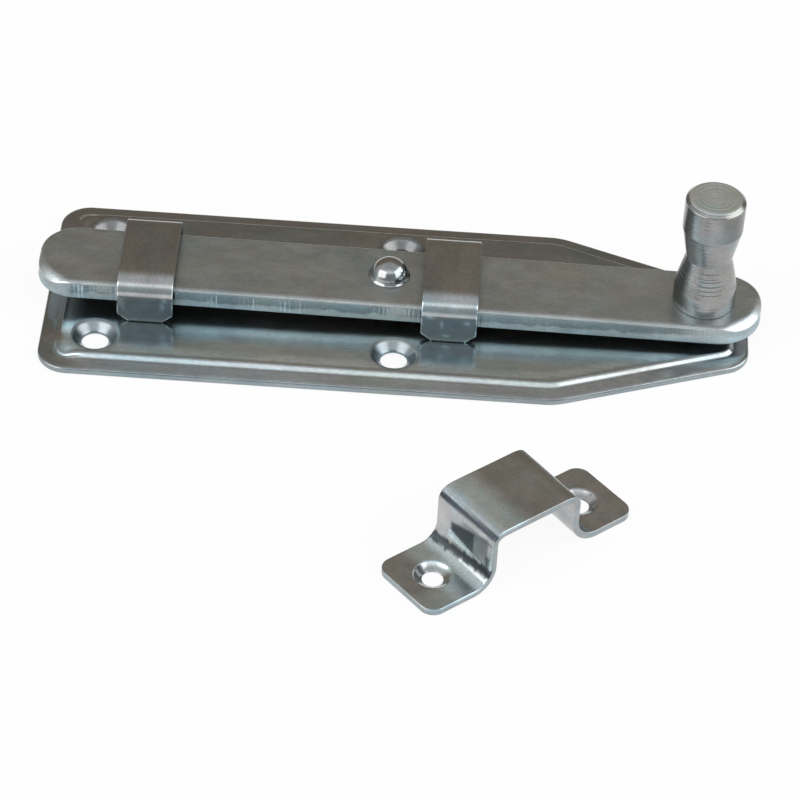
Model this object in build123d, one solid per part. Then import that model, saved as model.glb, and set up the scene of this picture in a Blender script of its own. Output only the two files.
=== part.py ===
from build123d import *
import math
import os

# Surface-mounted sliding door bolt in zinc-plated steel, with its keeper.
# +X runs along the bar from its nose to the knob, +Y to the far long side, +Z off the door.
# Z = 0 is the face of the door. The origin is the centre of the plate's four screw holes.

# Back plate
plate_sheet = 1.4
plate_length = 140.0
plate_width = 51.2
plate_wide_part = 102.0
plate_tip_width = 22.0
plate_corner = 6.0
shoulder_round = 12.0
flange_width = 2.6
flange_rise = 0.4
step_width = 0.9
step_rise = 0.9
rim_foot = 0.5
ridge_round = 0.8

# Screw holes of the plate, pressed down as dimples for countersunk heads
screw_pitch_x = 59.0
screw_pitch_y = 32.0
screw_to_end = 10.9
screw_hole_d = 5.3
screw_head_d = 9.0
sink_angle = 90.0
dimple_lip = 1.0
dimple_wall = 1.2
dimple_land = 0.5

# Bar
bar_width = 17.8
bar_thick = 4.0
bar_nose_overhang = 2.0
bar_tail_overhang = 2.2
bar_nose_flat = 4.8
bar_tail_flat = 1.8
bar_roll_width = 1.6
bar_roll_depth = 0.5

# Guides that the bar slides in
guide_sheet = 1.4
guide_length = 11.0
guide_spacing = 60.1
front_guide_to_end = 20.2
guide_side_clear = 1.1
guide_head_clear = 1.9
guide_bend = 2.2
guide_tab_width = 6.8
guide_tab_chamfer = 1.7
guide_tab_clear = 0.1
guide_edge = 0.25
tab_head_height = 0.9
tab_head_lap = 0.6

# Rivets of the bar: the stop stud and the knob end in flat heads that ride on the plate
rivet_head_height = 2.0
ride_clear = 0.1
rivet_fit = 0.03
stud_to_guide = 12.5
stud_off_middle = 0.7
stud_d = 8.3
stud_height = 3.7
stud_shank_d = 4.0
stud_rivet_d = 6.4

# Knob
knob_to_tip = 9.6
knob_base_d = 12.4
knob_base_height = 4.6
knob_waist_d = 9.1
knob_waist_height = 11.4
knob_head_d = 11.9
knob_head_bottom = 18.2
knob_height = 25.7
knob_top_chamfer = 0.8
knob_shank_d = 5.6
knob_rivet_d = 7.6

# Keeper, the bent strip that the bar's nose slides into
keeper_sheet = 1.4
keeper_strip = 16.3
keeper_span = 49.0
keeper_end_skew = 1.4
keeper_side_clear = 0.2
keeper_head_clear = 3.1
keeper_top_bend = 1.6
keeper_near_bend = 3.6
keeper_far_bend = 4.8
keeper_corner = 2.8
keeper_hole_pitch = 35.0
keeper_hole_d = 4.0
keeper_head_d = 7.2
keeper_hole_land = 0.25
keeper_edge = 0.25
keeper_x = 53.4
keeper_y = -65.6
keeper_turn = 40.4

# Places worked out from the sizes above
plate_left = -(screw_to_end + screw_pitch_x / 2)
plate_right = plate_left + plate_length
field_top = plate_sheet + flange_rise + step_rise
field_under = field_top - plate_sheet
bar_bottom = field_top + ride_clear + rivet_head_height
bar_top = bar_bottom + bar_thick
bar_left = plate_left - bar_nose_overhang
bar_right = plate_right + bar_tail_overhang
knob_x = plate_right - knob_to_tip
guide_inner_half = bar_width / 2 + guide_side_clear
guide_outer_half = guide_inner_half + guide_sheet
guide_inner_top = bar_top + guide_head_clear
guide_top = guide_inner_top + guide_sheet
front_guide_x = plate_left + front_guide_to_end
rear_guide_x = front_guide_x + guide_spacing
stud_x = rear_guide_x - stud_to_guide
keeper_inner_half = bar_width / 2 + keeper_side_clear
keeper_outer_half = keeper_inner_half + keeper_sheet
keeper_top = bar_top + keeper_head_clear + keeper_sheet
# Reach of cutting bodies past the faces that they cut
past = 1.0
# Two coordinates nearer than this are the same
same = 1e-4
# Angle of a dimple's wall below the plate's face
sink_slope = math.radians(90 - sink_angle / 2)


def corners_at(face, *places):
    """The face's corner points that lie at one of the places along X."""
    return [corner for corner in face.vertices()
            if any(abs(corner.X - x) < same for x in places)]


def plate_outline():
    """Plate seen from above: a wide part, two straight tapers and a narrow end under the knob."""
    half = plate_width / 2
    tip = plate_tip_width / 2
    shoulder = plate_left + plate_wide_part
    edge = Polyline(
        (plate_left, -half),
        (shoulder, -half),
        (plate_right, -tip),
        (plate_right, tip),
        (shoulder, half),
        (plate_left, half),
        close=True,
    )
    face = make_face(edge)
    face = fillet(corners_at(face, shoulder), shoulder_round)
    return fillet(corners_at(face, plate_left, plate_right), plate_corner)


def pressed_form(face, base_z):
    """An outline that stands up by the sheet, slopes in as a flange and steps up to the raised field."""
    flange_z = base_z + plate_sheet
    step_z = flange_z + flange_rise
    wall = extrude(Pos(0, 0, base_z) * face, plate_sheet)
    edge = Pos(0, 0, flange_z) * face
    foot = Pos(0, 0, step_z) * offset(face, -flange_width)
    crest = Pos(0, 0, step_z + step_rise) * offset(face, -flange_width - step_width)
    return wall + loft([edge.face(), foot.face(), crest.face()], ruled=True)


def edges_at(body, z):
    """Edges that lie flat at one height."""
    return [edge for edge in body.edges() if abs(edge.center().Z - z) < same
            and edge.bounding_box().size.Z < same]


def screw_dimples():
    """Places of the four screw holes in the plate."""
    return GridLocations(screw_pitch_x, screw_pitch_y, 2, 2)


def cone_depth():
    """How far the cone of a dimple goes down from the screw head's edge to the screw hole."""
    return (screw_head_d - screw_hole_d) / 2 * math.tan(sink_slope)


def lip_point(angle):
    """A point of a dimple's rounded lip, from the plate's face at 0 down to the cone at sink_slope."""
    lip_r = screw_head_d / 2 + dimple_lip * math.tan(sink_slope / 2)
    lip_z = field_top - dimple_lip
    return (lip_r - dimple_lip * math.sin(angle), lip_z + dimple_lip * math.cos(angle))


def dimple_cut():
    """What a dimple takes away: a cone for the screw head with a rounded lip, and the screw hole."""
    hole_r = screw_hole_d / 2
    lip_r = lip_point(0)[0]
    line = Polyline(
        lip_point(0),
        (lip_r, field_top + past),
        (0, field_top + past),
        (0, -past),
        (hole_r, -past),
        (hole_r, field_top - cone_depth()),
        lip_point(sink_slope),
    )
    lip = ThreePointArc(lip_point(sink_slope), lip_point(sink_slope / 2), lip_point(0))
    return revolve(Plane.XZ * make_face(line + lip), Axis.Z)


def dimple_wall_form():
    """The sheet pushed down round a dimple, which shows as a cone on the back."""
    low = field_top - cone_depth() - dimple_land
    high = field_under + plate_sheet / 2
    top_r = screw_head_d / 2 + dimple_wall / math.sin(sink_slope)
    line = Polyline(
        (0, low),
        (top_r - (field_top - low) / math.tan(sink_slope), low),
        (top_r - (field_top - high) / math.tan(sink_slope), high),
        (0, high),
        close=True,
    )
    return revolve(Plane.XZ * make_face(line), Axis.Z)


def guide_tabs(reach, low, high):
    """The two tabs of a guide as blocks round X = 0, wider all round by reach."""
    tab_mid = (guide_inner_half + guide_outer_half) / 2
    block = Box(guide_tab_width + 2 * reach, guide_sheet + 2 * reach, high - low)
    return [Pos(0, side * tab_mid, (low + high) / 2) * block for side in (-1, 1)]


def make_back_plate():
    """Pressed plate: raised field, stepped rim, four screw dimples and four slots for the guides."""
    outline = plate_outline()
    top_form = pressed_form(outline, 0)
    top_form = fillet(edges_at(top_form, field_top), ridge_round)
    plate = top_form - pressed_form(offset(outline, -rim_foot), -plate_sheet)
    for place in screw_dimples():
        plate += place * dimple_wall_form()
    for place in screw_dimples():
        plate -= place * dimple_cut()
    for guide_x in (front_guide_x, rear_guide_x):
        for slot in guide_tabs(guide_tab_clear, field_under - past, field_top + past):
            plate -= Pos(guide_x, 0, 0) * slot
    return plate


def make_guide(guide_x):
    """Strip bent over the bar, with a tab on each leg that is spread under the plate."""
    outer = make_face(Polyline(
        (-guide_outer_half, field_under),
        (-guide_outer_half, guide_top),
        (guide_outer_half, guide_top),
        (guide_outer_half, field_under),
        close=True,
    ))
    outer = fillet([c for c in outer.vertices() if c.Y > guide_inner_top], guide_bend + guide_sheet)
    inner = make_face(Polyline(
        (-guide_inner_half, field_under),
        (-guide_inner_half, guide_inner_top),
        (guide_inner_half, guide_inner_top),
        (guide_inner_half, field_under),
        close=True,
    ))
    inner = fillet([c for c in inner.vertices() if c.Y > field_top], guide_bend)
    loop = extrude(Plane.YZ * (outer - inner), guide_length / 2, both=True)
    half = guide_length / 2
    tab = guide_tab_width / 2
    shoulder_top = field_top + guide_tab_chamfer
    side_view = make_face(Polyline(
        (-tab, field_under - past),
        (-tab, field_top),
        (-half, shoulder_top),
        (-half, guide_top + past),
        (half, guide_top + past),
        (half, shoulder_top),
        (tab, field_top),
        (tab, field_under - past),
        close=True,
    ))
    loop = loop & extrude(Plane.XZ * side_view, guide_outer_half + past, both=True)
    crown = [edge for edge in loop.edges() if abs(abs(edge.center().X) - half) < same
             and edge.bounding_box().size.X < same and edge.center().Z > shoulder_top]
    loop = chamfer(crown, guide_edge)
    for head in guide_tabs(tab_head_lap, field_under - tab_head_height, field_under):
        head = chamfer(head.edges().group_by(Axis.Z)[0], tab_head_lap / 2)
        loop += head
    return Pos(guide_x, 0, 0) * loop


def make_bar():
    """Flat bar sheared from strip, with two rivet holes and its upper edge drawn down by the shear."""
    half = bar_width / 2
    edge = Polyline(
        (bar_left, -half),
        (bar_right, -half),
        (bar_right, half),
        (bar_left, half),
        close=True,
    )
    face = make_face(edge)
    face = fillet(corners_at(face, bar_left), half - bar_nose_flat / 2)
    face = fillet(corners_at(face, bar_right), half - bar_tail_flat / 2)
    bar = Pos(0, 0, bar_bottom) * extrude(face, bar_thick)
    top_face = bar.faces().sort_by(Axis.Z)[-1]
    bar = chamfer(edges_at(bar, bar_top), bar_roll_width, bar_roll_depth, reference=top_face)
    mid_z = (bar_bottom + bar_top) / 2
    stud_hole = Cylinder(stud_shank_d / 2 + rivet_fit, bar_thick + 2 * past)
    knob_hole = Cylinder(knob_shank_d / 2 + rivet_fit, bar_thick + 2 * past)
    bar -= Pos(stud_x, stud_off_middle, mid_z) * stud_hole
    bar -= Pos(knob_x, 0, mid_z) * knob_hole
    return bar


def rivet_points(shank_d, rivet_d):
    """Half section of a shank and its flat head under the bar, from the axis up to the bar's top."""
    head_low = bar_bottom - rivet_head_height
    return [
        (0, head_low),
        (rivet_d / 2, head_low),
        (rivet_d / 2, bar_bottom),
        (shank_d / 2, bar_bottom),
        (shank_d / 2, bar_top),
    ]


def make_stop_stud():
    """Domed stud riveted through the bar between the guides, which stops the bar's travel."""
    stud_r = stud_d / 2
    dome_r = (stud_r ** 2 + stud_height ** 2) / (2 * stud_height)
    crown_z = bar_top + stud_height
    centre_z = crown_z - dome_r
    mid_angle = (math.pi / 2 + math.asin((bar_top - centre_z) / dome_r)) / 2
    mid = (dome_r * math.cos(mid_angle), centre_z + dome_r * math.sin(mid_angle))
    lower = Polyline(*rivet_points(stud_shank_d, stud_rivet_d), (stud_r, bar_top))
    dome = ThreePointArc((stud_r, bar_top), mid, (0, crown_z))
    axis_line = Line((0, crown_z), (0, bar_bottom - rivet_head_height))
    stud = revolve(Plane.XZ * make_face(lower + dome + axis_line), Axis.Z)
    return Pos(stud_x, stud_off_middle, 0) * stud


def make_knob():
    """Turned knob: straight base, two cones that meet in a waist, straight head, flat top."""
    top = bar_top + knob_height
    section = Polyline(
        *rivet_points(knob_shank_d, knob_rivet_d),
        (knob_base_d / 2, bar_top),
        (knob_base_d / 2, bar_top + knob_base_height),
        (knob_waist_d / 2, bar_top + knob_waist_height),
        (knob_head_d / 2, bar_top + knob_head_bottom),
        (knob_head_d / 2, top - knob_top_chamfer),
        (knob_head_d / 2 - knob_top_chamfer, top),
        (0, top),
        close=True,
    )
    knob = revolve(Plane.XZ * make_face(section), Axis.Z)
    return Pos(knob_x, 0, 0) * knob


def keeper_section():
    """Side view of the keeper: two feet, two legs and a web, with a fold of its own for each foot."""
    half_span = keeper_span / 2 + past
    over = make_face(Polyline(
        (-half_span, 0),
        (-half_span, keeper_sheet),
        (-keeper_outer_half, keeper_sheet),
        (-keeper_outer_half, keeper_top),
        (keeper_outer_half, keeper_top),
        (keeper_outer_half, keeper_sheet),
        (half_span, keeper_sheet),
        (half_span, 0),
        close=True,
    ))
    inner_top = keeper_top - keeper_sheet
    under = Pos(0, inner_top / 2) * Rectangle(2 * keeper_inner_half, inner_top)
    under = fillet([c for c in under.vertices() if c.Y > keeper_top / 2], keeper_top_bend)
    for side, fold in ((-1, keeper_near_bend), (1, keeper_far_bend)):
        corner = [c for c in corners_at(over, side * keeper_outer_half) if c.Y < keeper_top / 2]
        over = fillet(corner, fold)
    crown = [c for c in over.vertices() if abs(c.Y - keeper_top) < same]
    over = fillet(crown, keeper_top_bend + keeper_sheet)
    section = over - under
    for side, fold in ((-1, keeper_near_bend), (1, keeper_far_bend)):
        corner = [c for c in corners_at(section, side * keeper_inner_half) if abs(c.Y) < same]
        section = fillet(corner, fold + keeper_sheet)
    return section


def keeper_blank():
    """Outline of the keeper seen from above: a strip with rounded corners and both ends sheared askew."""
    half_span = keeper_span / 2
    half_strip = keeper_strip / 2
    lean = half_strip * math.tan(math.radians(keeper_end_skew))
    blank = make_face(Polyline(
        (-half_span + lean, -half_strip),
        (half_span + lean, -half_strip),
        (half_span - lean, half_strip),
        (-half_span - lean, half_strip),
        close=True,
    ))
    return fillet(blank.vertices(), keeper_corner)


def make_keeper():
    """Strip bent to a bridge with two feet, one countersunk hole in each foot."""
    keeper = extrude(Plane.XZ * keeper_section(), keeper_strip / 2, both=True)
    keeper &= extrude(keeper_blank(), keeper_top + past)
    upper_edges = [edge for edge in keeper.edges() if abs(abs(edge.center().Y) - keeper_strip / 2) < same
                   and edge.bounding_box().size.Y < same and edge.center().Z > keeper_top - same]
    keeper = chamfer(upper_edges, keeper_edge)
    sink_depth = keeper_sheet - keeper_hole_land
    for side in (-1, 1):
        hole_x = side * keeper_hole_pitch / 2
        hole = Cylinder(keeper_hole_d / 2, keeper_sheet + 2 * past)
        sink = Cone(keeper_hole_d / 2, keeper_head_d / 2, sink_depth)
        head = Cylinder(keeper_head_d / 2, past)
        keeper -= Pos(hole_x, 0, keeper_sheet / 2) * hole
        keeper -= Pos(hole_x, 0, keeper_sheet - sink_depth / 2) * sink
        keeper -= Pos(hole_x, 0, keeper_sheet + past / 2) * head
    return Pos(keeper_x, keeper_y, 0) * Rot(0, 0, keeper_turn) * keeper


pieces = {
    "back_plate": make_back_plate(),
    "front_guide": make_guide(front_guide_x),
    "rear_guide": make_guide(rear_guide_x),
    "bar": make_bar(),
    "stop_stud": make_stop_stud(),
    "knob": make_knob(),
    "keeper": make_keeper(),
}

os.makedirs("parts", exist_ok=True)
for name, piece in pieces.items():
    export_step(piece, f"parts/{name}.step")
    print(name, "volume", round(piece.volume, 1), "mm3")

# Travel of the bar each way before a stop is met
lap_height = guide_inner_top - bar_top
dome_r = ((stud_d / 2) ** 2 + stud_height ** 2) / (2 * stud_height)
stud_stop_r = math.sqrt(dome_r ** 2 - (lap_height + dome_r - stud_height) ** 2)
out_by_knob = (knob_x - knob_base_d / 2) - (rear_guide_x + guide_length / 2)
out_by_stud = (stud_x - stud_stop_r) - (front_guide_x + guide_length / 2)
in_by_stud = (rear_guide_x - guide_length / 2) - (stud_x + stud_stop_r)
print("travel out", round(min(out_by_knob, out_by_stud), 2), "travel in", round(in_by_stud, 2))
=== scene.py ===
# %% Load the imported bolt
from math import acos, asin, atan2, cos, pi, radians, sin, sqrt, tan, tau

import bmesh
import bpy
import numpy as np
from mathutils import Matrix, Vector
from mathutils.geometry import delaunay_2d_cdt


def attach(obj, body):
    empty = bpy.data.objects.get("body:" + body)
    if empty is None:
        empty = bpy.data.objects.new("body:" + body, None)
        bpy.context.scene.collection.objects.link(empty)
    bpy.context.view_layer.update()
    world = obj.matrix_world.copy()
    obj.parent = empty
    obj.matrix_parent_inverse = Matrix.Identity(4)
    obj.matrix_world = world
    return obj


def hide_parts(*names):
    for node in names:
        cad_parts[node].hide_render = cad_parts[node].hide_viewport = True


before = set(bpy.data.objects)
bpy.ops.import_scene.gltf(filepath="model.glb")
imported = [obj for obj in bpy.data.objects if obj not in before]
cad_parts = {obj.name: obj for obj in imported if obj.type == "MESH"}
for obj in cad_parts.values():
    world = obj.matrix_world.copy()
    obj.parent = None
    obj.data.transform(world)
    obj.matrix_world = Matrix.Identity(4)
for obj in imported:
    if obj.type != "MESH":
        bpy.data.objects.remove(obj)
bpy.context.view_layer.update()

MM = 0.001          # sizes are written in millimetres, the scene is in metres
print("packed nodes", sorted(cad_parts))

# %% [markdown]
# # A zinc-plated sliding bolt
# The real object is a small door bolt: a pressed back plate, a flat bar that slides in two bent guides, a
# domed stud that stops the bar, a turned knob, and a separate keeper lying in front, all of zinc-plated
# steel. The CAD solids give every place and size. They could be shown as they are, but sheared and pressed
# steel lives from small things: the rolled edge of a cut, the lip of a dimple, the rings of a lathe. So
# each piece is made again as a mesh with those details, in the place of its solid.

# %% [markdown]
# ## Camera
# The picture was taken from in front and above, with a long lens, so that parallel edges stay nearly
# parallel. A camera could be aimed by eye, but measured edges of the plate and the bar give its place and
# its directions exactly.

# %% Camera
camera_place = Vector((41.236, -601.2815, 498.434)) * MM
camera_right = Vector((0.99774, 0.05302, 0.04138))
camera_up = Vector((-0.06599, 0.65327, 0.75424))
focal_pixels = 3898.94
picture_pixels = 800
sensor_mm = 36.0


def add_object(name, data):
    """A new object in the scene."""
    made = bpy.data.objects.new(name, data)
    bpy.context.scene.collection.objects.link(made)
    return made


camera_data = bpy.data.cameras.new("camera")
camera_data.sensor_width = sensor_mm
camera_data.lens = focal_pixels / picture_pixels * sensor_mm
camera = add_object("camera", camera_data)
camera_back = camera_right.cross(camera_up)
turn = Matrix((camera_right, camera_up, camera_back)).transposed().to_4x4()
camera.matrix_world = Matrix.Translation(camera_place) @ turn
bpy.context.scene.camera = camera
print("camera lens", round(camera_data.lens, 1), "mm")

# %% [markdown]
# ## Outlines and their rings
# Sheet parts start as a flat blank: a polygon with rounded corners. To round its edge, the outline is
# repeated a little further in and lower, ring after ring. Bevel tools can do that too, but rings worked out
# from the polygon keep the same number of points, so the faces between them are clean strips.

# %% Outline of a blank
fewest_steps = 4            # in the arc of a corner, however small it is
shortest_side = 0.001       # a shorter side between two corners is left out, as in a circle


def unit(vector):
    """A vector of length one in the same direction."""
    return vector / np.linalg.norm(vector)


def seen_from(corners, i):
    """The directions from a corner back and ahead along its two sides, and half the angle between them."""
    back = unit(corners[i - 1] - corners[i])
    ahead = unit(corners[(i + 1) % len(corners)] - corners[i])
    return back, ahead, acos(np.clip(back @ ahead, -1, 1)) / 2


def outline(corners, radii, arc_step=0.6, line_step=2.0):
    """A closed counter-clockwise outline, with the number of steps in each corner and each side."""
    corners = [np.array(corner, float) for corner in corners]
    reaches, arcs, sides = [], [], []
    for i, radius in enumerate(radii):
        half = seen_from(corners, i)[2]
        reaches.append(radius / tan(half))
        arcs.append(max(fewest_steps, round(radius * (pi - 2 * half) / arc_step)))
    for i, here in enumerate(corners):
        after = (i + 1) % len(corners)
        side = np.linalg.norm(corners[after] - here) - reaches[i] - reaches[after]
        sides.append(max(1, round(side / line_step)) if side > shortest_side else 0)
    return {"corners": corners, "radii": radii, "arcs": arcs, "sides": sides}


def rectangle(x, y, half_x, half_y):
    """The corners of a rectangle about a place."""
    return [(x + half_x * across, y + half_y * up) for across, up in ((-1, -1), (1, -1), (1, 1), (-1, 1))]


def round_outline(x, y, radius, arc_step=0.5):
    """A circle, written as a square whose corners are rounded all the way."""
    return outline(rectangle(x, y, radius, radius), [radius] * 4, arc_step)


# %% Ring of an outline
smallest_radius = 0.01


def ring(shape, inset):
    """Points of the outline moved inwards by inset, or outwards where inset is negative."""
    corners = shape["corners"]
    moved, arcs, points = [], [], []
    for i, here in enumerate(corners):
        back, ahead, _ = seen_from(corners, i)
        side_a = np.array((-back[1], back[0]))
        side_b = np.array((ahead[1], -ahead[0]))
        moved.append(here - inset * (side_a + side_b) / (1 + side_a @ side_b))
    for i, here in enumerate(moved):
        back, ahead, half = seen_from(moved, i)
        bulges = ahead[0] * back[1] - ahead[1] * back[0] > 0
        radius = max(shape["radii"][i] + (-inset if bulges else inset), smallest_radius)
        centre = here + unit(back + ahead) * radius / sin(half)
        start = here + back * radius / tan(half) - centre
        first = atan2(start[1], start[0])
        sweep = (pi - 2 * half) * (1 if bulges else -1)
        angles = first + sweep * np.linspace(0, 1, shape["arcs"][i] + 1)
        arcs.append(centre + radius * np.stack((np.cos(angles), np.sin(angles)), 1))
    for i, arc in enumerate(arcs):
        after = arcs[(i + 1) % len(arcs)][0]
        parts = shape["sides"][i]
        steps = np.arange(1, parts)[:, None] / max(parts, 1)
        points.append(arc if parts else arc[:-1])
        points.append(arc[-1] + (after - arc[-1]) * steps)
    return np.concatenate(points)


print("a circle of 1 mm has", len(ring(round_outline(0, 0, 1.0), 0)), "points")

# %% [markdown]
# ## Points in a face
# The flat faces are filled with triangles. Points that lie exactly in line can give triangles without area,
# which show as dark specks. So every other point of a straight side is moved by a hair while the triangles
# are found, and the mesh still gets the true places.

# %% Inside and in line
tiny = 1e-9
straight = 0.001        # sine of the largest turn that still counts as a straight side
crimp = 0.004


def cross(a, b):
    """The cross product of flat vectors, row by row."""
    return a[:, 0] * b[:, 1] - a[:, 1] * b[:, 0]


def inside(points, polygon):
    """Which points lie inside a closed polygon."""
    x, y = points[:, 0], points[:, 1]
    hit = np.zeros(len(points), bool)
    for (x0, y0), (x1, y1) in zip(np.roll(polygon, 1, 0), polygon):
        if y0 != y1:
            hit ^= ((y0 > y) != (y1 > y)) & (x < (x1 - x0) * (y - y0) / (y1 - y0) + x0)
    return hit


def crimped(loop):
    """The loop with every other point of its straight sides moved by a hair."""
    ahead, back = np.roll(loop, -1, 0) - loop, loop - np.roll(loop, 1, 0)
    before, after = np.linalg.norm(back, axis=1), np.linalg.norm(ahead, axis=1)
    moves = (np.abs(cross(ahead, back)) < straight * before * after) & (np.arange(len(loop)) % 2 == 1)
    aside = np.stack((-ahead[:, 1], ahead[:, 0]), 1)
    return loop + aside * (crimp * moves / np.maximum(after, tiny))[:, None]


print("points in line are moved by", crimp, "mm")

# %% [markdown]
# ## One closed sheet
# A real sheet has two faces and a cut edge all round, also inside every hole. Rings lead from the upper
# face over the edge to the under face, each opening gets its own rings, and both faces are then filled. A
# Solidify modifier would be quicker, but it can't give the cut edge its own profile.

# %% Sheet mesh
far_in = 50.0           # inset that stands for a point in the middle of a face
probe = 0.002           # step inwards that shows which way is out
clear_share = 0.45      # how near the middle points come to the border, in spacings
least_area = 1e-6


class Sheet:
    """Collects the rings and faces of one closed sheet in flat coordinates: two across the blank, one up."""

    def __init__(self):
        self.rows = []      # x, y, height, direction out (x, y), way along the edge, share of cut, inset
        self.faces = []

    def add_ring(self, shape, inset, height, cut=0.0):
        """Adds one ring and gives the numbers of its points."""
        edge = ring(shape, 0)
        outward = edge - ring(shape, probe)
        outward /= np.maximum(np.linalg.norm(outward, axis=1), tiny)[:, None]
        along = np.cumsum(np.linalg.norm(edge - np.roll(edge, 1, 0), axis=1))
        first = len(self.rows)
        for place, normal, way in zip(ring(shape, inset), outward, along):
            self.rows.append((*place, height, *normal, way, cut, inset))
        return np.arange(first, len(self.rows))

    def lead(self, shape, profile, sign=1):
        """Joins the rings of a profile and gives the first and the last. Its rows are (inset, height), and a
        share of cut where they lie on a cut edge."""
        rings = [self.add_ring(shape, sign * inset, *rest) for inset, *rest in profile]
        for upper, lower in zip(rings, rings[1:]):
            self.faces += zip(upper, np.roll(upper, -1), np.roll(lower, -1), lower)
        return rings[0], rings[-1]


# %% Filling a face
def fill(sheet, border, openings, spacing):
    """Fills a face between its border ring and the rings of its openings."""
    loops = [border] + openings
    flat = [crimped(np.array([sheet.rows[i][:2] for i in loop])) for loop in loops]
    _, _, height = sheet.rows[border[0]][:3]

    def on_face(points):
        kept = inside(points, flat[0])
        for opening in flat[1:]:
            kept &= ~inside(points, opening)
        return kept

    low, high = flat[0].min(0), flat[0].max(0)
    xs = np.arange(low[0] + spacing / 2, high[0], spacing)
    ys = np.arange(low[1] + spacing / 2, high[1], spacing)
    grid = np.stack(np.meshgrid(xs, ys), -1).reshape(-1, 2)
    grid = grid[on_face(grid)]
    edge = np.concatenate(flat)
    gap = np.array([np.min(np.sum((edge - point) ** 2, 1)) for point in grid])
    grid = grid[gap > (clear_share * spacing) ** 2]
    numbers = [*np.concatenate(loops), *range(len(sheet.rows), len(sheet.rows) + len(grid))]
    sheet.rows += [(*point, height, 0, 0, 0, 0, far_in) for point in grid]
    edges, first = [], 0
    for loop in loops:
        count = len(loop)
        edges += [(first + i, first + (i + 1) % count) for i in range(count)]
        first += count
    every = np.concatenate([edge, grid])
    found = delaunay_2d_cdt([Vector(point) for point in every], edges, [], 0, 1e-6)
    source = [origins[0] for origins in found[3]]
    triangles = np.array([[source[i] for i in face] for face in found[2]])
    corners = every[triangles]
    area = np.abs(cross(corners[:, 1] - corners[:, 0], corners[:, 2] - corners[:, 0]))
    keep = on_face(corners.mean(1)) & (area > least_area)
    sheet.faces += [tuple(numbers[i] for i in triangle) for triangle in triangles[keep]]


# %% Objects
def mark(made, name, values):
    """Writes one number to each point of a mesh, for its material to read."""
    share = made.data.attributes.new(name, "FLOAT", "POINT")
    share.data.foreach_set("value", np.array(values, np.float32))


def make_object(name, points, faces):
    """A smooth-shaded mesh object from points in millimetres, its faces turned outwards."""
    mesh = bpy.data.meshes.new(name)
    mesh.from_pydata([tuple(point) for point in np.array(points) * MM], [], faces)
    shape = bmesh.new()
    shape.from_mesh(mesh)
    bmesh.ops.recalc_face_normals(shape, faces=shape.faces)
    for face in shape.faces:
        face.smooth = True
    shape.to_mesh(mesh)
    shape.free()
    return add_object(name, mesh)


def closed_sheet(name, shape, rim, openings, place, spacing):
    """Builds a closed sheet and gives its rows. Place turns the rows into points in millimetres."""
    sheet = Sheet()
    upper, lower = sheet.lead(shape, rim)
    upper_openings, lower_openings = [], []
    for opening, walls in openings:
        top, bottom = sheet.lead(opening, walls, -1)
        upper_openings.append(top)
        lower_openings.append(bottom)
    fill(sheet, upper, upper_openings, spacing)
    fill(sheet, lower, lower_openings, spacing)
    rows = np.array(sheet.rows, float)
    made = make_object(name, place(rows), sheet.faces)
    *_, cut_share, _ = rows.T
    mark(made, "cut_edge", cut_share)
    return made, rows


# %% [markdown]
# ## Uneven steel
# No pressed face is quite flat and no sheared edge quite straight. A few sine waves with seeded lengths and
# directions give that, the same in every run. A texture could fake it in the material, but a shape that
# really is uneven bends the reflections as steel does.

# %% Waves
seed = 11
chance = np.random.default_rng(seed)


def waves(count, shortest, longest, size):
    """A gentle uneven height over a plane, made of sine waves between two lengths."""
    lengths = chance.uniform(shortest, longest, count)
    headings = chance.uniform(0, tau, count)
    shifts = chance.uniform(0, tau, count)

    def height(x, y):
        total = np.zeros_like(x)
        for length, heading, shift in zip(lengths, headings, shifts):
            total += np.sin((x * cos(heading) + y * sin(heading)) * tau / length + shift)
        return total * size / sqrt(count)
    return height


def smooth_step(value):
    """From 0 to 1 without a corner, flat outside."""
    value = np.clip(value, 0, 1)
    return value * value * (3 - 2 * value)


def rise(value, start, width):
    """From 0 to 1 while value grows past start by width. Where start is what varies, it falls instead."""
    return smooth_step((value - start) / width)


def between(value, low, high, soft):
    """1 between two borders, with soft ends."""
    return smooth_step((value - low) / soft + 0.5) * smooth_step((high - value) / soft + 0.5)


print("waves are drawn with seed", seed)

# %% [markdown]
# ## Shader nodes
# A finish, the floor and the room are small networks of shader nodes. Writing out every node would fill
# pages, so helpers add one node with its inputs.

# %% Node helpers
def add_node(tree, kind, inputs, **settings):
    """A new shader node. Inputs are {socket: a value, or the output of another node}."""
    made = tree.nodes.new("ShaderNode" + kind)
    for setting, value in settings.items():
        setattr(made, setting, value)
    for socket, value in inputs.items():
        if isinstance(value, bpy.types.NodeSocket):
            tree.links.new(value, made.inputs[socket])
        else:
            made.inputs[socket].default_value = value
    return made


def add_range(tree, value, low, high, start=0.0, end=1.0, kind="LINEAR"):
    """Turns a value that runs from low to high into one from start to end."""
    inputs = {"Value": value, "From Min": low, "From Max": high, "To Min": start, "To Max": end}
    return add_node(tree, "MapRange", inputs, interpolation_type=kind).outputs["Result"]


def add_ramp(tree, value, stops):
    """A colour that changes with a value, through (place, colour) stops."""
    made = add_node(tree, "ValToRGB", {"Fac": value})
    elements = made.color_ramp.elements
    while len(elements) < len(stops):
        elements.new(0.5)
    for element, (place, colour) in zip(elements, stops):
        element.position = place
        element.color = (*colour, 1)
    return made.outputs["Color"]


def add_mix(tree, share, a, b, kind="MIX"):
    """Mixes two colours by a share, or by a value that other nodes make."""
    b = (*b, 1) if isinstance(b, tuple) else b
    return add_node(tree, "Mix", {0: share, 6: a, 7: b}, data_type="RGBA", blend_type=kind).outputs[2]


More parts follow.
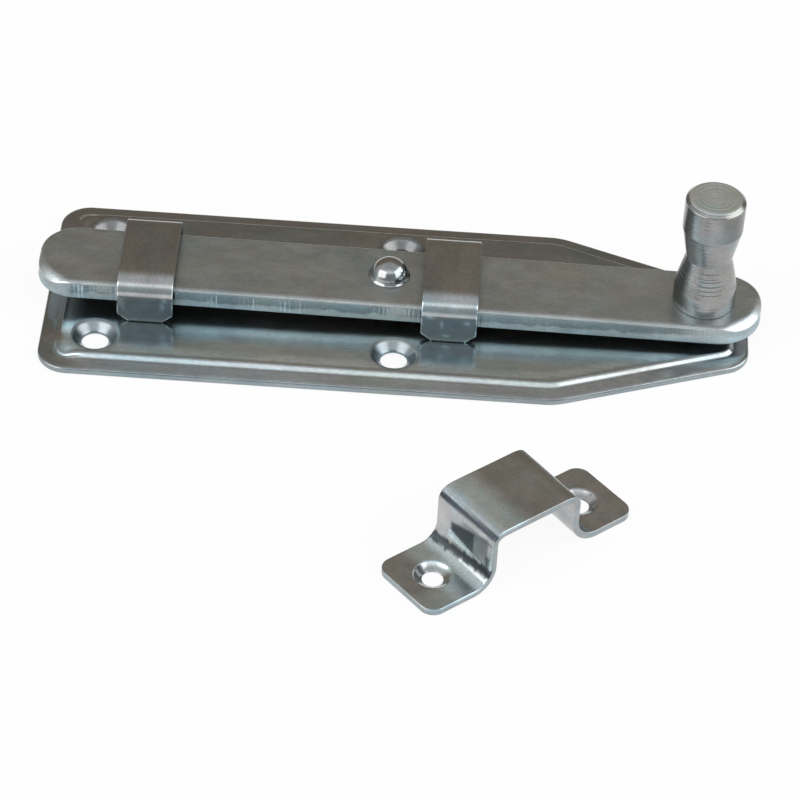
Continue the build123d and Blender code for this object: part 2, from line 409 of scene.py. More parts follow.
# %% [markdown]
# ## Zinc finish
# Bright zinc is a mirror with a fine grain and faint clouds of blue, pink and yellow. A plain metal shader
# with one colour would look like foil. Here noise drives it: clouds for the colour, a mottle in three sizes
# and a few pits for its depth, a slow change for the gloss, a wave and a grain that tilt the surface. What
# the meshes have marked, such as cut edges, painted highlights and painted shade, then gets its own tone and
# gloss.

# %% Zinc material
cloud_span = (0.36, 0.64)           # the range of the noise that the cloud colours are spread over
mottles = ((26.0, 2.0, 0.5, 0.06), (3.6, 4.0, 0.6, 0.09), (0.4, 2.0, 0.5, 0.07))
pit_colour, pit_share = (0.5, 0.5, 0.52), 0.4
wave_depth, grain_depth = 0.06, 0.004


def zinc(name, colours, rough, cloud_size=9.0, grain=0.6, waviness=0.5, stretch=(1, 1, 1), marks=()):
    """A zinc-plated steel. Colours go from the blue clouds to the yellow ones, sizes are in millimetres.
    Marks are (attribute, colour, roughness) rows for what the mesh has marked."""
    material = bpy.data.materials.new(name)
    material.use_nodes = True
    tree = material.node_tree
    steel = tree.nodes["Principled BSDF"]
    steel.inputs["Metallic"].default_value = 1.0
    place = add_node(tree, "TexCoord", {}).outputs["Object"]
    place = add_node(tree, "Mapping", {"Vector": place, "Scale": stretch}).outputs["Vector"]

    def noise(size, detail, rough_noise=0.5):
        inputs = {"Vector": place, "Scale": 1 / (size * MM), "Detail": detail, "Roughness": rough_noise}
        return add_node(tree, "TexNoise", inputs).outputs["Fac"]

    span = np.linspace(*cloud_span, len(colours))
    colour = add_ramp(tree, noise(cloud_size, 3.0, 0.6), list(zip(span, colours)))
    mottle = 1.0
    for size, detail, rough_noise, depth in mottles:        # each multiplies the one before
        layer = add_range(tree, noise(size, detail, rough_noise), 0.35, 0.65, 1 - depth, 1 + depth)
        mottle = add_node(tree, "Math", {0: mottle, 1: layer}, operation="MULTIPLY").outputs[0]
    colour = add_mix(tree, 1.0, colour, mottle, "MULTIPLY")
    pits = add_range(tree, noise(1.4, 4.0, 0.6), 0.66, 0.8, 0.0, pit_share)
    colour = add_mix(tree, pits, colour, pit_colour, "MULTIPLY")

    gloss = add_range(tree, noise(2.5, 3.0), 0.3, 0.7, rough * 0.88, rough * 1.15)
    for attribute, tone, rough_mark in marks:
        found = add_node(tree, "Attribute", {}, attribute_name=attribute).outputs["Fac"]
        colour = add_mix(tree, found, colour, tone, "MULTIPLY")
        gloss = add_node(tree, "Mix", {0: found, 2: gloss, 3: rough_mark}).outputs[0]
    tree.links.new(colour, steel.inputs["Base Color"])
    tree.links.new(gloss, steel.inputs["Roughness"])

    wavy = add_node(tree, "Bump", {"Strength": waviness, "Distance": wave_depth * MM,
                                   "Height": noise(4.5, 2.0)})
    grained = add_node(tree, "Bump", {"Strength": grain, "Distance": grain_depth * MM,
                                      "Height": noise(0.4, 4.0, 0.65), "Normal": wavy.outputs["Normal"]})
    tree.links.new(grained.outputs["Normal"], steel.inputs["Normal"])
    return material


# %% [markdown]
# A mark multiplies the colour beneath it, so a tone over one brightens. Bends, the plate's step and rolled
# edges get a painted highlight, cut edges stay darker, the guides' legs get painted shade, and the keeper
# gets painted light and painted shade.

# %% Finishes
blue_grey = (0.345, 0.385, 0.4)
plain_grey = (0.37, 0.39, 0.393)
pink_grey = (0.395, 0.385, 0.385)
straw_grey = (0.38, 0.39, 0.37)
cloud_colours = [blue_grey, plain_grey, pink_grey, straw_grey]


def toned(colours, light):
    """The same colours, lighter or darker."""
    return [tuple(channel * light for channel in colour) for colour in colours]


bar_colours = toned([blue_grey, plain_grey, plain_grey, straw_grey], 1.22)
keeper_colours = toned([blue_grey, pink_grey, plain_grey, straw_grey], 1.18)
cut = ("cut_edge", (0.78, 0.85, 0.88), 0.3)
# This mark paints a highlight: it lightens bends, the plate's step and the bar's rolled edge.
painted_highlight = ("painted_highlight", (1.32, 1.36, 1.38), 0.24)

finishes = {
    "plate_zinc": zinc(
        "plate zinc", toned(cloud_colours, 0.93), 0.2, grain=0.3, waviness=0.25, stretch=(0.35, 1, 1),
        marks=[cut, ("painted_near_light", (1.42, 1.58, 1.66), 0.2), ("painted_strip_highlight", (1.25, 1.27, 1.27), 0.2), painted_highlight,
               ("painted_dimple_shade", (0.56, 0.57, 0.58), 0.3)]),
    "guide_zinc": zinc(
        "guide zinc", cloud_colours, 0.17, grain=0.3, waviness=0.25, stretch=(1, 0.4, 1),
        marks=[("cut_edge", (0.6, 0.66, 0.7), 0.3), painted_highlight, ("painted_leg_shade", (0.66, 0.69, 0.71), 0.2),
               ("edge_glint_and_scratches", (3.0, 3.2, 3.3), 0.35)]),
    "bar_zinc": zinc(
        "bar zinc", bar_colours, 0.38, grain=0.5, waviness=0.3, stretch=(0.5, 1, 1),
        marks=[("cut_edge", (0.86, 0.94, 0.97), 0.26), ("torn", (1.15, 1.2, 1.22), 0.5), painted_highlight]),
    "stud_zinc": zinc("stud zinc", cloud_colours, 0.16, cloud_size=4.0, grain=0.2, waviness=0.15),
    "knob_zinc": zinc(
        "knob zinc", toned(cloud_colours, 0.82), 0.22, cloud_size=5.0, grain=0.5, waviness=0.2,
        marks=[("painted_top_light", (2.2, 2.35, 2.35), 0.4), ("painted_side_shade", (0.36, 0.38, 0.36), 0.3)]),
    "keeper_zinc": zinc(
        "keeper zinc", keeper_colours, 0.2, grain=0.3, waviness=0.3,
        marks=[cut, ("painted_light", (1.62, 1.85, 1.95), 0.25), ("painted_shade", (0.13, 0.14, 0.155), 0.3)]),
}
print("finishes", sorted(finishes))


def fit(piece, node, slot, body):
    """Gives a piece its finish, hangs it from the empty of its body and hides the solid that it replaces."""
    piece.data.materials.append(finishes[slot])
    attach(piece, body)
    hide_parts(node)
    triangles = sum(len(face.vertices) - 2 for face in piece.data.polygons)
    print(piece.name, triangles, "triangles")


# %% [markdown]
# ## Back plate
# The plate is pressed from sheet: a sloping flange meets the door, a short step lifts the field, and four
# screw dimples are pushed back down. Its section is drawn once and runs round the whole outline. A
# subdivided box would be easier, but it would lose the crisp step.

# %% Plate sizes
plate_left, plate_right = -40.4, 99.6
shoulder_x = plate_left + 102.0
plate_half, tip_half = 25.6, 11.0
field_top, flange_top = 2.7, 1.84
plate_corners = [
    (plate_left, -plate_half), (shoulder_x, -plate_half), (plate_right, -tip_half),
    (plate_right, tip_half), (shoulder_x, plate_half), (plate_left, plate_half),
]
plate_blank = outline(plate_corners, [6.0, 12.0, 6.0, 6.0, 12.0, 6.0], 0.5, 1.2)
plate_rim = [
    (4.56, field_top), (4.4, 2.698), (4.2, 2.69), (4.05, 2.67), (3.93, 2.635), (3.81, 2.575),
    (3.7, 2.495), (3.6, 2.4), (3.5, 2.295), (3.4, 2.18), (3.3, 2.065), (3.2, 1.965), (3.1, 1.895),
    (3.0, 1.86), (2.88, flange_top), (2.76, 1.83), (2.5, 1.785), (2.1, 1.72), (1.5, 1.62), (0.8, 1.51),
    (0.42, 1.445), (0.22, 1.38, 0.2), (0.08, 1.25, 0.7), (0.0, 1.05, 1), (0.0, 0.75, 1), (0.0, 0.45, 1),
    (0.03, 0.2, 1), (0.12, 0.05, 1), (0.3, 0.0, 0.4), (0.6, 0.01), (1.6, 0.17), (2.6, 0.32), (3.05, 0.42),
    (3.3, 0.6), (3.7, 1.02), (3.9, 1.2), (4.1, 1.28), (4.22, 1.30),
]
print("plate", plate_right - plate_left, "by", 2 * plate_half, "mm, field", field_top, "mm high")

# %% [markdown]
# The dimples have a rounded lip and a flat land round the hole. The slots are punched, so their upper edges
# are drawn in a little.

# %% Plate openings
hole_places = [(x, y) for x in (-29.5, 29.5) for y in (-16.0, 16.0)]
hole_r = 2.65
dimple_walls = [
    (2.3, field_top), (2.2, 2.695), (2.08, 2.675), (1.9, 2.62), (1.72, 2.52), (1.56, 2.41), (1.3, 2.15),
    (0.9, 1.75), (0.5, 1.35), (0.2, 1.05), (0.06, 0.88, 0.4), (0.0, 0.74, 1), (0.0, 0.5, 1),
    (0.08, 0.37, 1), (0.3, 0.34), (1.0, 0.34), (1.2, 0.4), (1.6, 0.78), (2.0, 1.14), (2.3, 1.28),
    (2.6, 1.30),
]
guide_places = (-20.2, 39.9)
tab_y = 10.7
slot_half_x, slot_half_y, slot_corner = 3.5, 0.8, 0.3
slot_walls = [
    (0.5, field_top), (0.25, 2.68), (0.08, 2.6, 0.3), (0.0, 2.4, 1), (0.0, 1.6, 1), (0.05, 1.35, 1),
    (0.3, 1.3),
]
plate_openings = [(round_outline(x, y, hole_r), dimple_walls) for x, y in hole_places]
for guide_x in guide_places:
    for y in (-tab_y, tab_y):
        slot = rectangle(guide_x, y, slot_half_x, slot_half_y)
        plate_openings.append((outline(slot, [slot_corner] * 4, 0.2, 0.8), slot_walls))
print("openings in the plate", len(plate_openings))

# %% [markdown]
# The field leans towards its step on the near and left side, where the light shows it, and its near left
# corner is dented. The flange waves a little, but its foot stays on the door.

# %% Plate shape
field_wave = waves(9, 14.0, 60.0, 0.03)
rim_wave = waves(5, 30.0, 90.0, 0.03)
lean_starts, lean_width = 7.6, 2.85         # distance from the outline where the field starts to lean
near_lean, left_lean = 0.1, 0.3
dent_depth = 0.55


def edge_distance(x, y):
    """How far points of the plate are from its outline."""
    border = ring(plate_blank, 0)
    nearest = np.full(len(x), np.inf)
    for (x0, y0), (x1, y1) in zip(border, np.roll(border, -1, 0)):
        dx, dy = x1 - x0, y1 - y0
        way = np.clip(((x - x0) * dx + (y - y0) * dy) / (dx * dx + dy * dy), 0, 1)
        nearest = np.minimum(nearest, np.hypot(x0 + way * dx - x, y0 + way * dy - y))
    return nearest


def near_side(x, y):
    """Which part of the plate lies before the bar or left of it, from 0 to 1."""
    return np.minimum(rise(-6.0, y, 7) + rise(plate_left + 12, x, 6), 1)


def press_plate(rows):
    """The plate's flat rows as points, with the uneven field."""
    x, y, z = rows.T[:3]
    raised = rise(z, 1.2, 1.2)
    from_corner = (x - plate_left) + (y + plate_half)
    lean_size = (near_lean + left_lean * rise(plate_left + 9, x, 3)) * near_side(x, y)
    leant = (np.clip(lean_starts - edge_distance(x, y), 0, lean_width) / 3) ** 2
    sunk = lean_size * leant * rise(z, 1.9, 0.6)
    z = z + raised * (field_wave(x, y) - dent_depth * rise(12.2, from_corner, 3.6)) - sunk
    low_edge = rise(0.3, z, 0.3)
    z = np.maximum(z + (1 - low_edge) * rim_wave(x, y) * 0.5, 0)
    return np.stack((x, y, z), 1)


plate, plate_rows = closed_sheet("pressed_plate", plate_blank, plate_rim, plate_openings, press_plate, 1.1)

# %% [markdown]
# A painted highlight runs as a brighter strip beside the step on the near and left side, and another lies on
# the near side of the step. The near half of the field is painted lighter, as painted light, and the dimples
# get painted shade.

# %% Plate marks
plate_x, plate_y, plate_z, *_, plate_inset = plate_rows.T
from_edge = edge_distance(plate_x, plate_y)
# A painted highlight: a brighter strip beside the step.
painted_strip_highlight = rise(7.2, from_edge, 1.6) * rise(from_edge, 4.7, 0.3)
mark(plate, "painted_strip_highlight", painted_strip_highlight * near_side(plate_x, plate_y))
# Painted light: the near half of the field is lightened and turned bluer.
on_field = rise(from_edge, 4.3, 0.4)
near_field = rise(-6.0, plate_y, 7) * rise(plate_x - plate_left, 2, 3)
mark(plate, "painted_near_light", near_field * (0.3 + 0.7 * on_field))
# A painted highlight on the near side of the step.
on_step = between(plate_inset, 3.0, 3.95, 0.3) * (plate_z > 1.85)
mark(plate, "painted_highlight", on_step * rise(-16, plate_y, 4))
# Painted shade in and round the dimples.
from_hole = np.min([np.hypot(plate_x - x, plate_y - y) for x, y in hole_places], axis=0)
mark(plate, "painted_dimple_shade", rise(hole_r + 2.6, from_hole, 0.8))
fit(plate, "back_plate", "plate_zinc", "mounting")

# %% [markdown]
# ## Bent strips
# The guides and the keeper are flat strips that were bent over a block. They are drawn flat, with their
# tabs and rounded corners, and laid along a path of straight runs and bends. That keeps the edge profile
# true all the way round, which a sweep along a curve would not do at the tabs.

# %% Bend path
def leftward(angle):
    """The direction to the left of a heading, which is out of the upper face."""
    return np.stack((-np.sin(angle), np.cos(angle)), -1)


def bend_path(start, heading, runs):
    """Follows the upper face of a strip. A run is (length, 0) when straight and (radius, degrees) in a bend,
    where a left turn is positive. The result turns the way along the strip into points and the directions
    out of the face."""
    pieces, place, way = [], np.array(start, float), 0.0
    angle = radians(heading)
    for size, turn_degrees in runs:
        turn_angle = radians(turn_degrees)
        length = abs(size * turn_angle) if turn_degrees else size
        pieces.append((way, length, place.copy(), angle, size, turn_angle))
        if turn_degrees:
            side = 1 if turn_angle > 0 else -1
            centre = place + side * size * leftward(angle)
            angle += turn_angle
            place = centre - side * size * leftward(angle)
        else:
            place = place + length * np.array((cos(angle), sin(angle)))
        way += length

    def follow(along):
        along = along + way / 2
        points, normals = np.zeros((len(along), 2)), np.zeros((len(along), 2))
        for i, (begin, length, origin, angle, size, turn_angle) in enumerate(pieces):
            low = -np.inf if i == 0 else begin
            high = np.inf if i == len(pieces) - 1 else begin + length
            here = (along >= low) & (along <= high)
            run = along[here] - begin
            if turn_angle:
                side = 1 if turn_angle > 0 else -1
                centre = origin + side * size * leftward(angle)
                normals[here] = leftward(angle + run / size * side)
                points[here] = centre - side * size * normals[here]
            else:
                normals[here] = leftward(angle)
                points[here] = origin + run[:, None] * np.array((cos(angle), sin(angle)))
        return points, normals
    return follow, way


# %% [markdown]
# A shear rounds the edges of the strip, and a press brake doesn't turn it in one radius: it leaves the flat
# in a wide curve and then tightens.

# %% Edges and bends of strip
flat_beside = 0.25          # flat ring next to the rounding, which keeps the face's shading level


def edge_profile(sheet, upper_round, under_round):
    """Profile rows round the edge of a strip, from its upper face at height 0 to its under face."""
    def corner(radius, degrees):
        angle = radians(degrees)
        return radius * (1 - sin(angle)), radius * (1 - cos(angle)), smooth_step(degrees / 90)

    upper = [corner(upper_round, degrees) for degrees in (0, 25, 50, 72, 90)]
    under = [corner(under_round, degrees) for degrees in (90, 60, 30, 0)]
    return [(upper_round + flat_beside, 0.0), *((inset, -drop, share) for inset, drop, share in upper),
            (0.0, -sheet / 2, 1.0), *((inset, drop - sheet, share) for inset, drop, share in under),
            (under_round + flat_beside, -sheet)]


def double_bend(tight, wide, wide_degrees):
    """A quarter turn that leaves a flat top wide and then tightens: its runs, its reach and its drop."""
    angle = radians(wide_degrees)
    reach = wide * sin(angle) + tight * (1 - sin(angle))
    drop = wide * (1 - cos(angle)) + tight * cos(angle)
    return [(wide, -wide_degrees), (tight, wide_degrees - 90)], reach, drop


sheet = 1.4
print("edge of a strip has", len(edge_profile(sheet, 0.1, 0.1)), "rings")

# %% [markdown]
# ## Guides
# Each guide is a strip bent twice over the bar. Its tabs go down through slots in the plate and are hammered
# wide behind it. The hammering is done here by pushing the last millimetre of the tab outwards.

# %% Guide blank
guide_half = 5.5
guide_top, guide_outer = 12.1, 11.4
guide_bend, bend_reach, bend_drop = double_bend(3.35, 9.0, 14)
tab_half = 3.4
shoulder_cut = 1.7
tab_end_z = 0.4
leg_run = guide_top - bend_drop - tab_end_z
top_run = 2 * (guide_outer - bend_reach)
guide_runs = [(leg_run, 0), *guide_bend[::-1], (top_run, 0), *guide_bend, (leg_run, 0)]
guide_follow, guide_way = bend_path((-guide_outer, tab_end_z), 90, guide_runs)
tab_way = guide_way / 2
bend_end = tab_way - leg_run
seat_way = tab_way - (field_top - tab_end_z)
shoulder_way = seat_way - shoulder_cut
half_blank = [(tab_half, -tab_way), (tab_half, -seat_way), (guide_half, -shoulder_way),
              (guide_half, shoulder_way), (tab_half, seat_way), (tab_half, tab_way)]
half_turned = [(-x, -y) for x, y in half_blank]
guide_corners = [half_turned[-1], *half_blank, *half_turned[:-1]]
tab_corner, tab_root = 0.5, 0.2
guide_blank = outline(guide_corners, [tab_corner, tab_corner, tab_root] * 4, 0.15, 0.4)
guide_rim = edge_profile(sheet, 0.07, 0.07)
print("guide strip", round(guide_way, 1), "mm along its upper face")

# %% [markdown]
# The edges of the near legs get painted glints, broken along the edge, and a few bright scratches. The legs
# get painted shade, and the near bends a painted highlight.

# %% Guides
tab_spread, tab_thicker = 0.16, 0.8
leg_scratches = {        # across the strip, down from the bend, half width, half length, in millimetres
    "front_guide": [(3.4, 1.8, 0.35, 1.1), (3.9, 0.4, 0.4, 0.5)],
    "rear_guide": [(-1.4, 1.6, 0.25, 0.9), (-3.8, 0.1, 0.9, 0.35), (3.6, 1.0, 0.6, 0.5),
                   (-0.4, 4.4, 0.7, 0.3)],
}


def bend_guide(guide_x, wave):
    """A function that bends the flat strip over the bar at one place along it."""
    def place(rows):
        u, v, w = rows.T[:3]
        spread = smooth_step((np.abs(v) - (seat_way + sheet)) / 0.25)
        u = u * (1 + tab_spread * spread)
        w = -sheet / 2 + (w + sheet / 2) * (1 + tab_thicker * spread) + wave(u, v) * (1 - spread)
        points, normals = guide_follow(v)
        laid = points + w[:, None] * normals
        return np.stack((guide_x + u, laid[:, 0], laid[:, 1]), 1)
    return place


def glint_and_scratch_share(rows, guide_x, scratches):
    """Painted glints along the edges of the near leg, and its scratches, from 0 to 1."""
    u, v, _, _, _, along, _, inset = rows.T
    broken = 0.45 + 0.35 * np.sin(along * 1.9 + guide_x) + 0.25 * np.sin(along * 5.3)
    on_leg = between(np.abs(v), bend_end - 3.2, seat_way + 0.4, 0.5) * (v < 0)
    edge_glint_and_scratches = np.clip(broken, 0, 1) * on_leg * (inset < 0.3)
    for aside, down, half_width, half_length in scratches:
        off_u, off_v = (u - aside) / half_width, (-v - bend_end - down) / half_length
        edge_glint_and_scratches = np.maximum(edge_glint_and_scratches, 0.45 * np.exp(-off_u ** 2 - off_v ** 2))
    return edge_glint_and_scratches


for node, guide_x in zip(("front_guide", "rear_guide"), guide_places):
    bend = bend_guide(guide_x, waves(4, 9.0, 30.0, 0.012))
    bent, bent_rows = closed_sheet("bent_" + node, guide_blank, guide_rim, [], bend, 0.45)
    _, v, w = bent_rows.T[:3]
    on_top_face, from_middle = w > -0.5, np.abs(v)
    # A painted highlight on the top of the near bend.
    bend_highlight = rise(from_middle - top_run / 2, 0.4, 1.6)
    bend_highlight *= rise(bend_end - 0.2, from_middle, 0.8)
    mark(bent, "painted_highlight", bend_highlight * on_top_face * (v < 0))
    # Painted shade on the legs.
    mark(bent, "painted_leg_shade", rise(from_middle, bend_end, 0.6))
    # Painted highlights on the near legs' edges, with a few real scratches.
    mark(bent, "edge_glint_and_scratches", glint_and_scratch_share(bent_rows, guide_x, leg_scratches[node]) * on_top_face)
    fit(bent, node, "guide_zinc", "mounting")

# %% [markdown]
# ## Bar
# The bar is sheared from strip. A shear first rolls the upper edge over, then burnishes the side with fine
# upright scratches, and near the bottom the steel tears and leaves a rough band. Those three bands are the
# rim rows, and the scratches push the points of the side in and out along the edge.

# %% Bar blank
bar_left, bar_right, bar_half = -42.4, 101.8, 8.9
bar_bottom, bar_top = 4.8, 8.8
stud_x, stud_y, knob_x = 27.4, 0.7, 90.0
bar_corners = [(bar_left, -bar_half), (bar_right, -bar_half), (bar_right, bar_half), (bar_left, bar_half)]
bar_blank = outline(bar_corners, [7.6, 9.4, 7.9, 7.6], 0.17, 0.17)
side_inset = 0.15
roll_insets = (3.6, 3.2, 2.8, 2.4, 2.05, 1.75, 1.45, 1.2, 0.95, 0.75, 0.57, 0.42, 0.3, 0.21, side_inset)
bar_rim = [(inset, bar_top) for inset in roll_insets]
bar_rim += [(side_inset, 8.35, 0.6)] + [(side_inset, height, 1) for height in (8.0, 7.6, 7.2, 6.85)]
bar_rim += [(0.13, 6.5, 1), (0.1, 6.15, 1), (0.07, 5.8, 1), (0.04, 5.45, 1), (0.04, 5.1, 1), (0.08, 4.92, 1),
            (0.18, 4.83, 0.6), (0.4, bar_bottom), (0.7, bar_bottom)]
rivet_walls = [(0.3, bar_top), (0.0, bar_top - 0.2, 1), (0.0, bar_bottom + 0.2, 1), (0.3, bar_bottom)]
stud_hole_r, knob_hole_r = 2.03, 2.83
bar_openings = [(round_outline(stud_x, stud_y, stud_hole_r), rivet_walls),
                (round_outline(knob_x, 0, knob_hole_r), rivet_walls)]
print("bar", round(bar_right - bar_left, 1), "by", 2 * bar_half, "mm")

# %% [markdown]
# The bar lies slack in its guides, its nose about a millimetre higher than its tail. The solid is level, so
# that it slides true, and the three pieces of the bolt lean here by half a degree.

# %% Slack of the bolt
slack_angle = radians(0.52)
slack_middle = (35.0, 6.8)


def lean(points):
    """Leans points of the bolt, nose up, about the middle of the bar."""
    x = points[:, 0] - slack_middle[0]
    z = points[:, 2] - slack_middle[1]
    leant_x = slack_middle[0] + x * cos(slack_angle) + z * sin(slack_angle)
    leant_z = slack_middle[1] - x * sin(slack_angle) + z * cos(slack_angle)
    return np.stack((leant_x, points[:, 1], leant_z), 1)


ends = lean(np.array([(bar_left, 0, bar_top), (bar_right, 0, bar_top)]))
print("nose above tail by", round(ends[0, 2] - ends[1, 2], 2), "mm")

# %% [markdown]
# Round the near half of both ends the roll is wide and deep, because another stroke cut the corners. There,
# and more faintly along the rest of the near edge, the roll gets a painted highlight.

# %% Bar
scratch_count, scratch_depth = 40, 0.018
scratch_lengths = chance.uniform(0.35, 1.1, scratch_count)
scratch_shifts = chance.uniform(0, tau, scratch_count)
tear_wave = waves(12, 1.5, 9.0, 0.25)
bar_wave = waves(8, 12.0, 50.0, 0.025)
tear_height = 6.5
least_roll = 0.3


def roll_size(out_x, out_y):
    """Width and depth of the rolled edge: small on the far side, wide round the near half of both ends."""
    near = rise(0.8, out_y, 1.8)
    end = smooth_step(np.abs(out_x) * 1.3)
    return 0.75 + 0.35 * near + end * (0.3 + 0.5 * near), 0.26 + 0.18 * near + end * (0.1 + 1.0 * near)


def roll_share(inset, width):
    """How far each point lies down the roll, from 0 on the flat to 1 at the side."""
    return np.clip(1 - (inset - side_inset) / width, 0, 1)


def shear_bar(rows):
    """The bar's rows as points: a rolled edge, scratches on the side, a rough torn band."""
    x, y, z, out_x, out_y, along, cut_share, inset = rows.T
    width, depth = roll_size(out_x, out_y)
    away, rim = roll_share(inset, width), inset > 0
    scratch = np.zeros_like(along)
    for length, shift in zip(scratch_lengths, scratch_shifts):
        scratch += np.sin(along * tau / length + shift)
    scratch *= scratch_depth / sqrt(scratch_count / 2)
    on_side = cut_share * rise(bar_top - 0.4, z, 0.5)
    x = x + out_x * (scratch - 0.03) * on_side
    y = y + out_y * (scratch - 0.03) * on_side
    sloped = rise(depth, 0.44, 0.6)
    section = (1 - sloped) * (1 - np.sqrt(1 - away ** 2)) + sloped * away ** 1.4
    lowered = depth * section * ((z == bar_top) & rim)
    lowered += (depth - least_roll) * rise(z, 5.0, 3.2) * (cut_share > 0) * rim
    z = z - lowered + (z > bar_top - 0.3) * bar_wave(x, y)
    return lean(np.stack((x, y, np.minimum(z, bar_top + 0.05)), 1))


bar, bar_rows = closed_sheet("sheared_bar", bar_blank, bar_rim, bar_openings, shear_bar, 2.0)
x, _, z, out_x, out_y, along, cut_share, inset = bar_rows.T
tear_line = tear_height + tear_wave(along, along * 0)
mark(bar, "torn", cut_share * rise(tear_line, z, 0.5))
roll_width, _ = roll_size(out_x, out_y)
# A painted highlight along the near rolled edge, strongest at the nose.
ends = 0.3 + 0.7 * rise(-24, x, 10) + 0.2 * rise(x, 80, 10)
roll_highlight = smooth_step((roll_share(inset, roll_width) - 0.3) / 0.3) * rise(0.2, out_y, 0.8) * ends
mark(bar, "painted_highlight", roll_highlight * ((z == bar_top) & (inset > 0)))
fit(bar, "bar", "bar_zinc", "bolt")

# %% [markdown]
# ## Turned pieces
# The stud and the knob are round, so each is a profile turned about an axis. A Screw modifier could do it,
# but the profile is first cut into short steps here, so that the shallow rings that a lathe tool leaves can
# be put in.

# %% Turning
def turned(name, profile, centre_x, centre_y, grooves, around=96, step=0.14):
    """Turns a profile of (radius, height) points about an upright axis, with grooves along the profile."""
    profile = np.array(profile, float)
    fine = [profile[0]]
    for a, b in zip(profile, profile[1:]):
        count = max(1, round(np.linalg.norm(b - a) / step))
        fine += [a + (b - a) * k / count for k in range(1, count + 1)]
    fine = np.array(fine)
    tangent = np.gradient(fine, axis=0)
    tangent /= np.linalg.norm(tangent, axis=1)[:, None]
    outward = np.stack((tangent[:, 1], -tangent[:, 0]), 1)
    fine = fine + outward * grooves(fine)[:, None]
    angles = np.arange(around) * tau / around
    points, faces, rings = [], [], []
    for i, (radius, height) in enumerate(fine):
        if i in (0, len(fine) - 1):
            rings.append([len(points)] * around)
            points.append((centre_x, centre_y, height))
            continue
        rings.append(list(range(len(points), len(points) + around)))
        radius = max(radius, 0.02)
        points += [(centre_x + radius * cos(a), centre_y + radius * sin(a), height) for a in angles]
    for low, high in zip(rings, rings[1:]):
        for k in range(around):
            corner = (low[k], low[(k + 1) % around], high[(k + 1) % around], high[k])
            faces.append(tuple(dict.fromkeys(corner)))
    return make_object(name, lean(np.array(points)), faces)


# %% [markdown]
# The stud's dome is hammered and then plated, so it is nearly a mirror. It sits a little off the bar's
# middle, and its foot flares out.

# %% Stop stud
stud_r, stud_height = 4.15, 3.7
dome_foot, dome_start, dome_steps = 0.55, 3.72, 28
dome_height = stud_height - dome_foot
dome_r = (dome_start ** 2 + dome_height ** 2) / (2 * dome_height)
dome_low = asin((dome_r - dome_height) / dome_r)
stud_profile = [(0, 2.9), (2.9, 2.9), (3.15, 3.1), (3.15, 4.6), (3.0, bar_bottom), (2.0, bar_bottom + 0.1)]
stud_profile += [(radius, bar_top + up) for radius, up in (
    (2.0, -0.05), (stud_r - 0.2, -0.02), (stud_r, 0.02), (4.06, 0.12), (3.93, 0.25), (3.82, 0.38),
    (3.75, 0.49))]
for k in range(1, dome_steps + 1):
    angle = -dome_low + (pi / 2 + dome_low) * k / dome_steps
    height = bar_top + stud_height - dome_r + dome_r * sin(angle)
    if height > bar_top + dome_foot:
        stud_profile.append((dome_r * cos(angle), height))
stud_profile[-1] = (0, bar_top + stud_height)
stud = turned("domed_stud", stud_profile, stud_x, stud_y, lambda fine: np.zeros(len(fine)), 80)
fit(stud, "stop_stud", "stud_zinc", "bolt")

# %% [markdown]
# The knob has a straight base, two cones that meet in a waist, a straight head and a flat top. The tool
# left fine rings, deeper ones on the lower cone and on the faced top. The top is painted lighter, as painted
# light, and painted shade lies low on the left and on both sides of the head.

# %% Knob
ring_count = 14
ring_pitches = chance.uniform(0.45, 1.5, ring_count)
ring_shifts = chance.uniform(0, tau, ring_count)
fine_depth, cone_depth, top_depth = 0.007, 0.014, 0.014
knob_height = 25.7
knob_top = bar_top + knob_height


def knob_grooves(fine):
    """Depth of the turning rings along the profile, deeper on the lower cone and on the top."""
    way = np.concatenate(([0], np.cumsum(np.linalg.norm(np.diff(fine, axis=0), axis=1))))
    depth = sum(np.sin(way * tau / pitch + shift) for pitch, shift in zip(ring_pitches, ring_shifts))
    up = fine[:, 1] - bar_top
    on_cone = rise(up, 4.8, 0.4) * rise(11.2, up, 0.4)
    on_top = rise(up, 25.5, 0.1)
    shown = up > 0.3
    return depth / sqrt(ring_count) * (fine_depth + cone_depth * on_cone + top_depth * on_top) * shown


knob_profile = [(0, 3.4), (3.6, 3.4), (3.8, 3.6), (3.8, 4.6), (3.6, bar_bottom), (2.8, bar_bottom + 0.1)]
knob_profile += [(radius, bar_top + up) for radius, up in (
    (2.8, -0.1), (5.95, -0.05), (6.15, 0.1), (6.2, 0.35), (6.2, 3.8), (6.16, 4.3), (6.05, 4.9), (4.6, 11.2),
    (4.55, 11.45), (4.6, 11.7), (5.83, 18.1), (5.93, 18.35), (5.95, 18.6))]
knob_profile += [(radius, knob_top - down) for radius, down in (
    (5.95, 0.85), (5.91, 0.7), (5.84, 0.62), (5.15, 0.08), (5.0, 0), (2.5, 0.01), (0, 0.02))]
knob = turned("turned_knob", knob_profile, knob_x, 0.0, knob_grooves, step=0.11)
knob_points = np.array([vertex.co for vertex in knob.data.vertices]) / MM
knob_up = knob_points[:, 2] - knob_points[:, 2].max()
knob_side = (knob_points[:, 0] - knob_x) / 6
# Painted light on the top.
mark(knob, "painted_top_light", smooth_step((knob_up + 0.3) / 0.2))
# Painted shade low on the left and on both sides of the head.
low_shade = between(knob_up, -24.5, -14.5, 1.5) * rise(-knob_side, 0.3, 0.5)
head_sides = 0.35 * rise(-knob_side, 0.2, 0.5) + 0.5 * smooth_step(knob_side / 0.6)
mark(knob, "painted_side_shade", low_shade + between(knob_up, -7.2, -1.0, 0.4) * head_sides)
fit(knob, "knob", "knob_zinc", "bolt")

